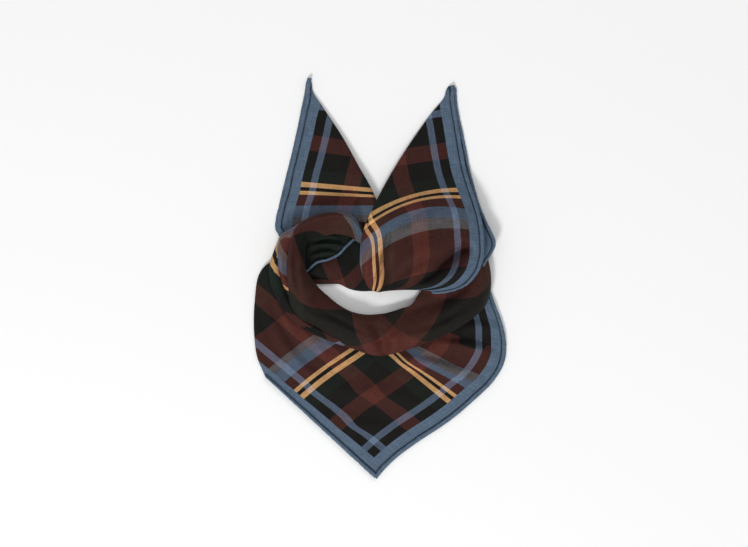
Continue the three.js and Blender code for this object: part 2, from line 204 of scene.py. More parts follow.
def roll(edge, inner, seed, size=1.0):
    inward = unit(inner - edge)
    up = unit(np.cross(unit(np.gradient(edge, axis=0)), inward))
    up *= np.where(up[:, 2:3] < 0, -1.0, 1.0)
    distance = lengths(edge[:, None], 0)[:, 0]
    nip = 1 - NIP * np.exp(-(((distance % STITCH) - STITCH / 2) ** 2) / STITCH_SPREAD)
    fat = size * nip * (1 + UNEVEN * rumple(distance, distance * 0, UNEVEN_EVERY, seed))
    wide = (ROLL_WIDE / 2 * fat)[:, None, None]
    high = (ROLL_HIGH / 2 * fat)[:, None, None]
    turn = ROLL_TURN[None, :, None]
    tube = edge[:, None] - inward[:, None] * wide * np.sin(turn)
    return tube + up[:, None] * high * (1 - np.cos(turn))


def from_edge(net):
    count = len(ROLL_TURN)
    rolled = np.linspace(0, ROLL_CLOTH, count, endpoint=False) * np.ones((len(net), 1))
    return np.concatenate([rolled, lengths(net[:, count:], 1) + ROLL_CLOTH], 1)


print("a hem has", len(ROLL_TURN), "columns and takes up", ROLL_CLOTH)

# %% [markdown]
# ## The diagonal fold
# Pressed cloth doesn't fold to a sharp line: it turns over in a small round. Half a turn of extra
# columns makes it, from the height of the upper layer down to the lower one.

# %% Fold
FOLD_COLUMNS = 7  # round the half turn


def half_turn(edge, inner, low):
    out = edge - inner
    out[:, 2] = 0
    out = unit(out)[:, None]
    radius = ((edge[:, 2] - low) / 2)[:, None, None]
    angle = np.linspace(0, math.pi, FOLD_COLUMNS)[None, 1:, None]
    return edge[:, None] + out * radius * np.sin(angle) - UP * radius * (1 - np.cos(angle))


# %% [markdown]
# ## The bib
# The bib is the square corner of the folded cloth: two layers, the front one a little puffed where
# the band holds it. The front layer is laid in rows that start at the right hem and run parallel to
# the left hem, so the rows are threads of the cloth. The left shoulder is a fold: there the layer
# turns under to the back one.

# %% Bib tables
BIB = [
    ("hemX", "hemY", "endX", "endY", "lift"),
    (-5, -201, -117, -99, 2.2),
    (6, -188, -123, -80, 2.4),
    (22, -174, -126, -51, 3.0),
    (40, -161, -125, -22, 3.6),
    (60, -148, -120, 5, 4.4),
    (79, -134, -104, 16, 4.6),
    (98, -117, -78, -6, 3.6),
    (114, -101, -48, -26, 2.8),
    (124, -83, -14, -36, 2.6),
    (126, -63, 22, -31, 2.6),
    (122, -43, 45, -14, 2.6),
    (114, -22, 62, 6, 2.6),
    (107, 0, 72, 22, 2.6),
]
BIB_FOLDS = [
    ("fromX", "fromY", "toX", "toY", "bow", "wide", "high", "peak"),
    (-112, -2, -34, -92, -10, 5, 3.6, 0.35),
    (-120, -20, -56, -104, -8, 5, 3.4, 0.4),
    (-102, -12, -36, -96, -9, 3.4, -2.6, 0.35),
    (-124, -34, -66, -112, -5, 3.6, -2.4, 0.4),
    (-118, -48, -40, -112, -6, 5, 2.2, 0.4),
    (14, -78, 100, -108, 7, 6.5, 4.2, 0.5),
    (46, -66, 122, -82, 8, 6, 5.4, 0.5),
    (30, -76, 112, -97, 6, 3.4, -4.4, 0.5),
    (80, -48, 122, -52, 3, 5.5, 4.2, 0.5),
    (64, -60, 124, -68, 5, 3.2, -4.0, 0.5),
    (0, -84, 84, -122, 5, 3.2, -1.8, 0.5),
    (66, -118, 108, -104, 1, 3.6, -2.4, 0.6),
    (80, -112, 106, -101, 0, 2.0, 2.6, 0.6),
    (-84, -112, 56, -128, 6, 8, 1.8, 0.5),
    (-70, -128, 40, -140, 4, 5, -1.4, 0.5),
    (-48, -146, 22, -152, 3, 6, 1.6, 0.5),
    (-30, -160, 8, -164, 2, 4, -1.0, 0.5),
]
BIB_RUMPLE = [("size", "seed", "high"), (26, 1, 1.1), (10, 2, 0.4)]
print("bib", len(BIB) - 1, "sections and", len(BIB_FOLDS) - 1, "folds")

# %% Net of the bib
BIB_NET = (104, 66)
BACK_NET = (44, 12)
CORNER = unit(np.array((1.0, 1.0)))  # from the left hem into the cloth
EDGE_FADE = 0.12  # share of a net over which the folds fade out at its edge


def bib_net(net, inset):
    s, t = shares(net)
    hem, end = spot(BIB, "hemX", "hemY", s), spot(BIB, "endX", "endY", s)
    start = hem + unit(end - hem) * inset
    side = CORNER * inset * (1 - smooth(s, 0, EDGE_FADE))[..., None]
    return s, t, mix(start, end, t[..., None]) + side


# %% [markdown]
# ## The front layer of the bib
# Where the layer is puffed into broad folds, the band has drawn the threads along, and the stripes
# wave. Moving the faces sideways would spoil the outline, so the place on the flat square moves.

# %% Bib front
BACK_PEEPS = 1.2  # the back layer's hem shows this far outside the front one's
BROAD = 6  # folds as wide as this draw the stripes along
BUNCHED = 1.8  # how far a fold draws the stripes along, for each millimetre that it is high
FRONT_SEED = 3
LEFT_HEM_SEED = 4


def bib_front():
    s, t, place = bib_net(BIB_NET, ROLL_WIDE / 2 + BACK_PEEPS)
    x, y = place[..., 0], place[..., 1]
    still = smooth(np.minimum(s * 2, 1 - t), 0, EDGE_FADE)
    folds = relief(BIB_FOLDS, x, y) * still
    folds += rumples(x, y, BIB_RUMPLE) * still
    lift = mix(SECOND, along(BIB, "lift", s), t)
    points = np.stack([x, y, np.maximum(lift + folds, SECOND)], -1)
    turn = half_turn(points[:, -1], points[:, -3], FLOOR)
    net = np.concatenate([roll(points[:, 0], points[:, 2], FRONT_SEED)[:, ::-1], points, turn], 1)
    across, down = from_edge(net), lengths(points[:, :1], 0)
    broad = [fold for fold in BIB_FOLDS if fold[5] == "wide" or fold[5] >= BROAD]
    added = (len(ROLL_TURN), turn.shape[1])
    bunched = np.pad(relief(broad, x, y) * still, ((0, 0), added)) * BUNCHED
    cloth("bib front", net, np.stack([down + ROLL_CLOTH + bunched, across], -1))
    side = roll(points[0], points[3], LEFT_HEM_SEED)[:, ::-1]
    rolled = np.linspace(0, ROLL_CLOTH, side.shape[1]) * np.ones((len(side), 1))
    shown = across[:1, added[0] : -added[1]].T
    cloth("bib left hem", side, np.stack([rolled, shown + rolled * 0], -1))


bib_front()

# %% [markdown]
# ## The back layer of the bib
# Only its hem shows, a hair outside the front one, but it closes the bib from below. It lies flat, so
# it needs few rows.

# %% Bib back
BACK_SEED = 5
BACK_ROLL = 0.6  # its rolled hem is pressed thinner


def bib_back():
    s, t, place = bib_net(BACK_NET, ROLL_WIDE / 2)
    points = np.concatenate([place, np.full((*s.shape, 1), FLOOR)], -1)
    hem = roll(points[:, 0], points[:, 1], BACK_SEED, BACK_ROLL)[:, ::-1]
    net = np.concatenate([hem, points], 1)
    across, down = from_edge(net), lengths(points[:, :1], 0)
    cloth("bib back", net, np.stack([down + ROLL_CLOTH + across * 0, across], -1))


bib_back()

# %% [markdown]
# ## The two ends and the face of the knot
# Each end is the cloth folded on its diagonal, so one net runs from the front hem over the front
# layer, round the fold and back under it to the back hem. The right end's front layer goes on as the
# puffed face of the knot, with a lip and a crease on its left and a deep pocket on its right.

# %% Folded net
BACK_COLUMNS = 7
END_BACK_ROLL = 0.75  # its rolled hem, against the front one's


def folded_net(front, under, back_hem, seed):
    turn = half_turn(front[:, -1], front[:, -3], under)
    start = turn[:, -1]
    share = np.linspace(0, 1, BACK_COLUMNS)[None, 1:, None]
    back = mix(start[:, None], back_hem[:, None], share)
    parts = [roll(front[:, 0], front[:, 2], seed)[:, ::-1], front, turn, back]
    parts.append(roll(back[:, -1], back[:, -2], seed + 1, END_BACK_ROLL))
    fold_column = len(ROLL_TURN) + front.shape[1] + turn.shape[1] // 2
    return np.concatenate(parts, 1), fold_column


# %% [markdown]
# ## The left end
# It lies flat at its tip and rises towards the loop, which it goes under. The pattern is measured on
# the net without its folds, because the folds would bend the border.

# %% Tables of the left end
LEFT_END = [
    ("hemX", "hemY", "foldX", "foldY", "lift", "under"),
    (-73.2, 202.4, -71.2, 202, 1.6, 0.35),
    (-75, 197, -69.4, 196, 1.7, 0.35),
    (-76.3, 188, -67.6, 187, 1.9, 0.35),
    (-79, 175, -57, 171, 3.0, 0.35),
    (-84, 150, -38, 142, 4.8, 0.35),
    (-90, 124, -23, 115, 7.0, 0.35),
    (-96, 100, -10, 92, 9.0, 0.35),
    (-102, 75, -3, 75, 10.5, 0.4),
    (-106, 55, -1, 60, 11.0, 0.6),
    (-103, 46, -2, 54, 7.0, 0.8),
    (-99, 40, -3, 51, 5.0, 0.8),
]
LEFT_END_FOLDS = [
    ("fromX", "fromY", "toX", "toY", "bow", "wide", "high", "peak"),
    (-92, 46, -18, 52, 6, 5, 2.0, 0.5),
    (-66, 160, -20, 84, 3, 7, 1.2, 0.5),
    (-84, 140, -58, 70, -4, 9, 1.2, 0.5),
    (-88, 110, -34, 76, 0, 6, -1.2, 0.5),
]
LEFT_END_RUMPLE = [("size", "seed", "high"), (24, 10, 0.8)]
print("left end", len(LEFT_END) - 1, "sections and", len(LEFT_END_FOLDS) - 1, "folds")

# %% Left end
END_NET = (84, 34)
PEEP = 2.2  # the back hem shows this far outside the front one
PEEP_CHANGE = 1.2  # more or less
PEEP_NOISE = (60, 6, 9)  # its length, size and seed
MOST_PEEP = 0.42  # share of the width that hem and peep may take, at the tip
MOST_FOLD = 0.3  # share of the width that the half turn may take
END_FADE = 0.2  # share over which the folds fade out at the edges
END_RISE = 0.35  # share over which the cloth rises from the hem
BACK_IN = 1.4  # the back hem lies this far inside the outline
LEFT_SEED = 11


def end_pattern(smoothed, front, fold_column, turned):
    across, down = from_edge(smoothed), lengths(front[:, :1], 0) + ROLL_CLOTH
    mirrored = from_edge(smoothed[:, ::-1])[:, ::-1]
    near = [across, SIDE - down + across * 0]
    far = [down + across * 0, SIDE - mirrored]
    near, far = (np.stack(pair[::-1] if turned else pair, -1) for pair in (near, far))
    near[:, fold_column:] = far[:, fold_column:]
    return near


def left_end():
    s, t = shares(END_NET)
    hem, fold = spot(LEFT_END, "hemX", "hemY", s), spot(LEFT_END, "foldX", "foldY", s)
    wide = np.linalg.norm(fold - hem, axis=-1)
    length, size, seed = PEEP_NOISE
    peep = PEEP + PEEP_CHANGE * rumple(s * length, s * 0, size, seed)
    start = np.minimum((ROLL_WIDE / 2 + peep) / wide, MOST_PEEP)
    under = along(LEFT_END, "under", s[:, 0])
    lift = along(LEFT_END, "lift", s)
    end = 1 - np.minimum((lift - under[:, None]) / 2 / wide, MOST_FOLD)
    place = mix(hem, fold, mix(start, end, t)[..., None])
    x, y = place[..., 0], place[..., 1]
    still = smooth(np.minimum(t, 1 - t), 0, END_FADE)
    z = mix(SECOND + under[:, None], lift, smooth(t, 0, END_RISE))
    folds = (relief(LEFT_END_FOLDS, x, y) + rumples(x, y, LEFT_END_RUMPLE)) * still
    front = np.stack([x, y, z + folds], -1)
    inset = unit(fold - hem)[:, 0] * BACK_IN
    back_hem = np.concatenate([hem[:, 0] + inset, under[:, None]], -1)
    net, fold_column = folded_net(front, under, back_hem, LEFT_SEED)
    smoothed, _ = folded_net(np.stack([x, y, z], -1), under, back_hem, LEFT_SEED)
    cloth("left end", net, end_pattern(smoothed, front, fold_column, False))


left_end()

# %% [markdown]
# ## The right end and the knot's face
# The rows swing round at the knot, where the cloth is gathered, so each row also has a bow and a crown.
# The columns lie closer at the lip, where the small puffs of the gathered edge need them.

# %% Tables of the right end and the knot
RIGHT_END = [
    ("inX", "inY", "hemX", "hemY", "backX", "backY", "bow", "inLift", "crown", "hemLift", "under"),
    (68.5, 194.4, 71, 194.6, 71.5, 195, 0, 1.6, 0, 1.6, 0.35),
    (65.5, 190, 73, 191, 74, 191, 0, 1.8, 0, 1.6, 0.35),
    (62.5, 181, 73.4, 182, 74.4, 182, 0, 2.0, 0, 1.6, 0.35),
    (51, 167, 75, 170, 76, 169, 0, 3.4, 0.3, 1.6, 0.35),
    (36, 146, 78, 152, 80, 150, 0, 5.6, 0.8, 1.7, 0.35),
    (21, 123, 81, 132, 84, 130, 0, 8.5, 1.5, 2.0, 0.4),
    (7, 99, 85, 111, 88, 109, 1, 12, 2.5, 3.6, 1.2),
    (-8, 70, 90, 93, 93, 90, 7, 17, 5, 7, 4),
    (-17, 48, 95, 77, 98, 73, 14, 21, 9, 11, 7),
    (-18.5, 28, 100, 58, 105, 56, 20, 22, 13, 15, 10),
    (-15.5, 8, 102, 40, 113, 36, 12, 20, 17, 18, 12),
    (-11.5, -6.5, 101.5, 24, 104, 18, 8, 15, 19, 19, 12),
    (-3, -11.5, 96, 8, 94, 4, 4, 12, 16, 20, 11),
    (4, -11, 82, -6, 77, -3, 2, 10, 12, 20, 9),
    (12, -10, 58, -11.5, 54, -6, 1, 9, 9, 19, 8),
    (21, -8, 42, -8.5, 41, -5, 1, 9, 6, 17, 7),
    (28, -4, 34, -5, 34, -3, 0, 11, 3, 14, 7),
]
KNOT_FOLDS = [
    ("fromX", "fromY", "toX", "toY", "bow", "wide", "high", "peak"),
    (9, 54, -8, -10, 2, 2.6, -11, 0.5),
    (2.5, 28, 4, -20, 2, 2.8, -9, 0.5),
    (-8, 52, -15, -8, -2, 4, 5.5, 0.5),
    (-2, 8, -3, -14, 0, 2.2, 3.0, 0.6),
    (10, 30, 10, -10, 0, 4, -2.6, 0.5),
    (90, 36, 54, 9, 0, 5.2, -21, 0.42),
    (68, 23, 34, -4, 3, 3.6, -10, 0.5),
    (92, 26, 46, -7, 6, 3.6, 5.5, 0.5),
    (14, 8, 72, 42, 5, 7, 5.0, 0.45),
    (12, -8, 60, 14, 3, 4.5, 3.2, 0.45),
    (12, 0, 64, 26, 4, 2.6, -2.6, 0.4),
    (28, 58, 90, 66, 6, 9, 3.0, 0.4),
    (12, 40, 76, 62, 6, 5, 3.0, 0.35),
    (8, 32, 70, 54, 6, 3.0, -3.2, 0.35),
    (12, 50, 70, 72, 6, 3.2, -2.2, 0.4),
]
KNOT_RUMPLE = [("size", "seed", "high"), (22, 13, 1.0), (9, 14, 0.25)]
print("right end", len(RIGHT_END) - 1, "sections and", len(KNOT_FOLDS) - 1, "folds")

# %% Right end and knot
KNOT_NET = (116, 62)
CLOSER = 1.25  # power that draws the columns to the lip
MOST_HEM = 0.3  # share of the width that the hem's roll may take
LIP = 0.8  # share of its half turn that the lip keeps inside the outline
KNOT_BUMP = 2.4  # how far the small puffs at its edge stand out
BUMP_EVERY = 7  # length of a puff
BUMP_SEED = 17
BUMP_START = (0.62, 0.7)  # shares of the length between which the puffs grow
CROWN = 0.8  # power of the crown: a smaller one is fuller
RIGHT_SEED = 15


def right_end():
    s, t = shares(KNOT_NET)
    t = 1 - (1 - t) ** CLOSER
    hem, inner = spot(RIGHT_END, "hemX", "hemY", s), spot(RIGHT_END, "inX", "inY", s)
    wide = np.linalg.norm(inner - hem, axis=-1)
    under = along(RIGHT_END, "under", s[:, 0])
    in_lift = along(RIGHT_END, "inLift", s)
    start = np.minimum((ROLL_WIDE / 2) / wide, MOST_HEM)
    end = 1 - np.minimum((in_lift - under[:, None]) / 2 / wide, MOST_FOLD) * LIP
    bumps = rumple(lengths(inner, 0)[:, :1] / BUMP_EVERY, s[:, :1] * 0, 1.0, BUMP_SEED)
    bumps = bumps * smooth(s, *BUMP_START)
    end = np.minimum(end + KNOT_BUMP * bumps / wide, 1)
    far = mix(start, end, t)
    arch = along(RIGHT_END, "bow", s) * 4 * far * (1 - far)
    run = unit(inner - hem)
    aside = np.stack([run[..., 1], -run[..., 0]], -1)
    place = mix(hem, inner, far[..., None]) + aside * arch[..., None]
    x, y = place[..., 0], place[..., 1]
    crown = along(RIGHT_END, "crown", s) * np.sin(math.pi * far) ** CROWN
    z = mix(along(RIGHT_END, "hemLift", s), in_lift, far) + crown
    still = smooth(np.minimum(t, 1 - t), 0, EDGE_FADE)
    folds = relief(KNOT_FOLDS, x, y) + rumples(x, y, KNOT_RUMPLE) * still
    front = np.stack([x, y, np.maximum(z + folds, under[:, None] + THICK * 2)], -1)
    back = [along(RIGHT_END, column, s[:, 0]) for column in ("backX", "backY")]
    back_hem = np.stack([*back, under], -1)
    net, fold_column = folded_net(front, under, back_hem, RIGHT_SEED)
    smoothed, _ = folded_net(np.stack([x, y, z], -1), under, back_hem, RIGHT_SEED)
    cloth("right end and knot", net, end_pattern(smoothed, front, fold_column, True))


right_end()

# %% [markdown]
# ## The band of the loop
# The middle of the cloth is wound up into a soft band that goes from the knot round the left side and
# across the front. Its section is a scroll: the outer turn is what shows, and the inner turns fill it.
# A curve with a bevel would be a sausage, so the section follows a table instead, with a steep outer
# shoulder, a crest and a hollow that changes from place to place. Two thinner rolls lie along its outer
# side, because the cloth wasn't wound evenly, and the dark creases between the three make it look wound.

# %% Table of the band
BAND = [
    ("outX", "outY", "inX", "inY", "base", "rise", "crest", "hollow"),
    (-10, 44, -12, 32, 3, 8, 0.4, 1.2),
    (-22, 58, -23, 38, 5, 14, 0.22, 2.0),
    (-31, 66, -32, 44, 8, 19, 0.16, 2.6),
    (-46, 68, -46, 46, 8, 22, 0.13, 2.8),
    (-61, 66, -58, 44, 8, 22, 0.13, 2.8),
    (-74, 61, -67, 43, 8, 21, 0.14, 2.6),
    (-86, 53, -73, 38, 8, 20, 0.16, 2.2),
    (-91, 42, -75.5, 30, 7.5, 19, 0.18, 1.6),
    (-92.5, 30, -76, 20, 6.5, 19, 0.2, 1.2),
    (-94.5, 16, -75, 10, 5.5, 19, 0.2, 1.0),
    (-94, 2, -70, 2, 4.6, 19, 0.22, 0.9),
    (-93, -12, -62, -8, 4, 19, 0.24, 0.85),
    (-90, -28, -52, -17, 3.6, 18, 0.26, 0.85),
    (-80, -39, -42, -25, 3.4, 17, 0.28, 0.85),
    (-62, -48.5, -30, -31.5, 3.4, 16, 0.3, 0.9),
    (-44, -60, -17, -34.5, 3.4, 15, 0.34, 0.95),
    (-24, -70, -6, -34.5, 3.4, 14, 0.36, 1.0),
    (-3, -75.5, 6, -33, 3.4, 13, 0.36, 1.1),
    (18, -72, 19, -29, 3.4, 14, 0.3, 1.6),
    (39, -65, 30, -25, 3.4, 15, 0.24, 2.4),
    (58, -57.5, 36, -17, 3.4, 16, 0.2, 3.0),
    (75, -49, 42, -9, 3.4, 16, 0.18, 3.4),
    (89, -40, 47, -1, 3.4, 16, 0.17, 3.6),
    (102.5, -28, 54, 8, 3.2, 15, 0.16, 3.6),
    (108.5, -15, 60, 16, 3.0, 14, 0.16, 3.2),
    (110, 0, 65, 25, 2.8, 12, 0.18, 2.6),
    (108, 16, 68, 34, 2.6, 10, 0.22, 1.8),
    (102, 32, 68, 43, 2.4, 8, 0.3, 1.2),
    (89, 46, 60, 50, 2.4, 7, 0.4, 1),
]
print("band", len(BAND) - 1, "sections")

# %% Tables of the two rolls beside it
SIDE_ROLL = [
    BAND[0],
    (-78, 59, -74, 51, 14, 12, 0.3, 1),
    (-89, 52, -82, 43, 12, 13, 0.3, 1),
    (-99, 46, -86, 35, 9, 14, 0.26, 1),
    (-103, 35, -88, 28, 7, 14, 0.24, 1),
    (-103.5, 23, -89, 20, 6, 13, 0.22, 1),
    (-103, 11, -90, 11, 5, 12, 0.22, 1),
    (-100, 0, -89, 2, 4.6, 11, 0.26, 1),
    (-96, -10, -87, -8, 4, 9, 0.3, 1),
    (-91, -20, -84, -18, 4, 7, 0.4, 1),
]
LOW_ROLL = [
    BAND[0],
    (-102, 42, -98, 40, 7, 3, 0.4, 1),
    (-106, 31, -97, 29, 5, 8, 0.4, 1),
    (-110, 20, -98, 19, 4.2, 9, 0.36, 1),
    (-111.5, 10, -98, 10, 4, 9, 0.34, 1),
    (-110.5, -1, -96, 0, 4, 9, 0.34, 1),
    (-107, -12, -93, -10, 3.8, 9, 0.34, 1),
    (-101, -24, -87, -20, 3.6, 9, 0.34, 1),
    (-93, -36, -81, -29, 3.4, 8, 0.34, 1),
    (-85, -43.5, -75, -37, 3.4, 7.5, 0.4, 1),
    (-73, -51.5, -66, -44, 3.4, 7, 0.4, 1),
    (-58, -58, -53, -50.5, 3.2, 6.5, 0.4, 1),
    (-43, -64, -39, -57, 3.2, 6, 0.4, 1),
    (-29, -68.5, -25, -62, 3, 5, 0.4, 1),
]
print("rolls", len(SIDE_ROLL) - 1, "and", len(LOW_ROLL) - 1, "sections")

# %% Folds of the band
BAND_FOLDS = [
    ("fromX", "fromY", "toX", "toY", "bow", "wide", "high", "peak"),
    (-89, 46, -86, -32, -3, 2.6, 2.2, 0.5),
    (-84, 42, -80, -28, -3, 2.6, -3.0, 0.5),
    (-79, 36, -74, -24, -3, 3.0, 1.6, 0.5),
    (-66, -14, -12, -46, 4, 5, 3.0, 0.5),
    (-76, -26, -4, -62, 3, 3.4, -2.6, 0.5),
    (-58, -4, -20, -34, 3, 3.0, -1.8, 0.5),
    (-6, -40, 4, -84, 2, 5.5, -7.5, 0.6),
    (-16, -42, -8, -70, 0, 4.5, 3.2, 0.6),
    (10, -48, 18, -76, 0, 5, 4.0, 0.6),
    (14, -36, 92, -4, -4, 6, -5.5, 0.55),
    (18, -62, 104, -20, -7, 4.5, 3.6, 0.5),
    (30, -52, 102, -10, -6, 3.2, -3.0, 0.5),
    (26, -36, 60, -20, -2, 3.0, 1.8, 0.5),
    (-66, 56, -30, 58, 2, 2.6, -3.0, 0.5),
    (-20, 70, -15, 42, 0, 3.2, -7.0, 0.5),
    (-80, 52, -72, 40, 0, 2.6, -2.4, 0.5),
]
print("band", len(BAND_FOLDS) - 1, "folds")

# %% [markdown]
# ## A section of the band
# Seen from its end, the band is higher at the outer shoulder and slopes down to the neck. The share
# runs from the outer side to the inner one, and the section has one height above it and one below.

# %% Section
BAND_EDGE = 4.4  # height of the rolled edges above the underside
BAND_ROUND = 0.6  # power of the outer shoulder: a smaller one is fuller
EDGE_PUFF = 4.0  # puffs up the outer edge and the slope, by at most half of this
UNDERSIDE = 0.6  # the middle of the underside above the base
UNDER_SQUARE = 3  # power of the underside: a larger one is flatter


def section_heights(table, s, share):
    base, rise = along(table, "base", s), along(table, "rise", s)
    crest, hollow = along(table, "crest", s), along(table, "hollow", s)
    edge = np.minimum(BAND_EDGE, rise / 2)
    shoulder = np.sin(math.pi / 2 * np.clip(share / crest, 0, 1)) ** BAND_ROUND
    slope = np.cos(math.pi / 2 * np.clip((share - crest) / (1 - crest), 0, 1))
    inward = np.maximum(slope, 0) ** hollow
    over = edge + (rise - edge) * np.where(share < crest, shoulder, inward)
    over = over + EDGE_PUFF * np.sqrt(share * (1 - share)) * (1 - shoulder * (share < crest))
    curve = (1 - np.abs(2 * share - 1) ** UNDER_SQUARE) ** (1 / UNDER_SQUARE)
    low = edge - (edge - UNDERSIDE) * curve
    return base + over, base + low


def section_place(table, s, share):
    return mix(spot(table, "outX", "outY", s), spot(table, "inX", "inY", s), share[..., None])


# %% [markdown]
# ## The outer turns
# A wound cloth shows its stripes at a slant, so the threads run at 45 degrees to the band. The outer
# turn starts under the band, goes over it and ends under it again.

# %% Wound cloth
BIAS = 1 / math.sqrt(2)
UNDER_START = np.linspace(-0.5, -0.05, 6)  # columns before the upper side, in half turns
UNDER_END = np.linspace(1.05, 1.5, 6)  # and after it
TOP_FADE = 0.5  # the folds fade out below this share of the round's height
LEAST_OPEN = 3.6  # height of the section that a trough leaves open
# the grain is a noise with a length along the band, a number of waves across it and a height
GRAIN = [("size", "across", "high"), (26, 5, 1.1), (9, 9, 0.35)]


def wound(name, table, net, seed, pattern):
    rows, over = np.linspace(0, 1, net[0]), np.linspace(0, 1, net[1])
    shown = np.concatenate([UNDER_START, over, UNDER_END])
    s, angle = np.meshgrid(rows, shown * math.pi, indexing="ij")
    share = 0.5 - 0.5 * np.cos(angle)
    over, low = section_heights(table, s, share)
    top = np.sin(np.clip(angle, 0, math.pi))
    height = np.where((angle >= 0) & (angle <= math.pi), over, low)
    points = np.concatenate([section_place(table, s, share), height[..., None]], -1)
    plain = points.copy()
    folds = relief(BAND_FOLDS, points[..., 0], points[..., 1])
    middle = points.shape[1] // 2
    length = lengths(points[:, middle : middle + 1], 0)
    for k, (size, across, high) in enumerate(GRAIN[1:]):
        folds = folds + rumple(length / size + share * 0, share * across, 1.0, seed + k) * high
    points[..., 2] += folds * smooth(top, 0, TOP_FADE)
    points[..., 2] = np.maximum(points[..., 2], low + LEAST_OPEN * top)
    across, down = lengths(plain, 1), length + share * 0
    flat = [start + along_it * down + across_it * across for start, along_it, across_it in pattern]
    cloth(name, points, np.stack(flat, -1))


# %% Band and rolls
WOUND = [
    ("name", "table", "net", "seed", "pattern"),
    ("band", BAND, (190, 36), 21, ((112, BIAS, BIAS), (452, -BIAS, BIAS))),
    ("side roll", SIDE_ROLL, (56, 20), 23, ((126, BIAS, BIAS), (165, -BIAS, BIAS))),
    ("low roll", LOW_ROLL, (90, 20), 25, ((123, -BIAS, BIAS), (196, BIAS, BIAS))),
]
for row in WOUND[1:]:
    wound(*row)

# %% [markdown]
# ## The inner turns
# One can look into the scroll where the band ends, and the inner turns keep light from shining through.
# They follow the same section, each turn smaller than the last, and stay clear of the troughs.

# %% Inner turns
SCROLL_ROWS = 44
SCROLL_TURNS = 12
TURN_STEPS = 8  # columns of one turn
SCROLL_FIRST = 1.5  # where the scroll goes on from the outer turn, in half turns
SCROLL_START = 0.82  # share of the section that the first inner turn has
SCROLL_LEFT = 0.3  # and the last one
SCROLL_SQUARE = 0.6  # power of a turn: a smaller one is squarer
SCROLL_ROOM = 2.4  # air between it and the outer turn
SCROLL_CLEAR = 5.0  # and beside each trough
SCROLL_PATTERN = 230.0  # place on the square, in a plain dark stretch


def inside(table):
    turns = np.linspace(SCROLL_FIRST, SCROLL_FIRST + 2 * SCROLL_TURNS, TURN_STEPS * SCROLL_TURNS)
    s, angle = np.meshgrid(np.linspace(0, 1, SCROLL_ROWS), turns * math.pi, indexing="ij")
    wound_up = (angle / math.pi - SCROLL_FIRST) / (2 * SCROLL_TURNS)
    shrink = mix(SCROLL_START, SCROLL_LEFT, wound_up)
    share = 0.5 - 0.5 * np.cos(angle) * shrink
    over, low = section_heights(table, s, share)
    place = section_place(table, s, share)
    troughs = [(*fold[:5], fold[5] + SCROLL_CLEAR, *fold[6:]) for fold in BAND_FOLDS[1:] if fold[6] < 0]
    over = over + relief(BAND_FOLDS[:1] + troughs, place[..., 0], place[..., 1]) - SCROLL_ROOM
    half = np.maximum(over - low - THICK, THICK) / 2
    swing = np.sign(np.sin(angle)) * np.abs(np.sin(angle)) ** SCROLL_SQUARE * shrink
    height = low + THICK + half * (1 + swing)
    points = np.concatenate([place, height[..., None]], -1)
    cloth("inside of the band", points, np.full((*s.shape, 2), SCROLL_PATTERN))


inside(BAND)

# %% [markdown]
# ## Inside the loop
# Between the arch and the neck there is a dark pocket. One looks down into it on the inner layers, that
# lie in a few soft arcs. It is a small piece of the same cloth, and its edges are under the others.

# %% Pocket
POCKET = (-88.0, -4.0, -6.0, 50.0)  # left, lower, right and upper side
POCKET_NET = (52, 40)
POCKET_HIGH = 2.6  # above the surface
POCKET_PATTERN = 188.0  # place on the square of its lower left corner
POCKET_FOLDS = [
    ("fromX", "fromY", "toX", "toY", "bow", "wide", "high", "peak"),
    (-72, 33, -34, 32, 3, 2.4, 6.0, 0.5),
    (-74, 20, -44, 27, 3, 2.6, 5.0, 0.5),
    (-72, 27, -40, 29, 2, 1.8, -2.0, 0.5),
    (-76, 44, -40, 42, 2, 3.0, 4.0, 0.5),
]
POCKET_RUMPLE = [("size", "seed", "high"), (14, 41, 0.8)]


def pocket():
    left, lower, right, upper = POCKET
    s, t = shares(POCKET_NET)
    x, y = mix(left, right, s), mix(lower, upper, t)
    z = POCKET_HIGH + relief(POCKET_FOLDS, x, y) + rumples(x, y, POCKET_RUMPLE)
    flat = np.stack([x - left, y - lower], -1) + POCKET_PATTERN
    cloth("pocket", np.stack([x, y, z], -1), flat)


pocket()

# %% [markdown]
# ## Behind the neck hole
# The cloth that goes behind the neck shows as a low band between the hole and the left end. Its upper
# edge is a narrow hem, which dips behind the crest of the band.

# %% Neck band
NECK_BACK = [
    ("topX", "topY", "lowX", "lowY"),
    (-78, 4, -76, 2),
    (-72, 9.5, -67, 1),
    (-64, 17, -56, -0.5),
    (-53, 20, -43, -3.5),
    (-42, 25.5, -31, -9),
    (-35, 33, -21, -11),
    (-25, 42, -12, -11),
    (-14, 48, 2, -10),
]
NECK_NET = (38, 16)
NECK_HIGH = 9.5  # height of its round, without the dip
NECK_ROUND = 0.55  # power of its section: a smaller one is fuller
NECK_DIP = 5.5  # how far the hem lies below the crest
DIP_POWER = 4  # a larger one keeps the dip closer to the hem
NECK_ROLL = 0.7  # its rolled hem, against the others
NECK_SEED = 32
NECK_HEM = 12  # place of the hem on the square, in the border
NECK_CLOTH = 20  # how much further in the cloth beside it lies
NECK_ALONG = 40  # place of its first row on the square
NECK_RUMPLE = [("size", "seed", "high"), (14, 31, 0.8)]


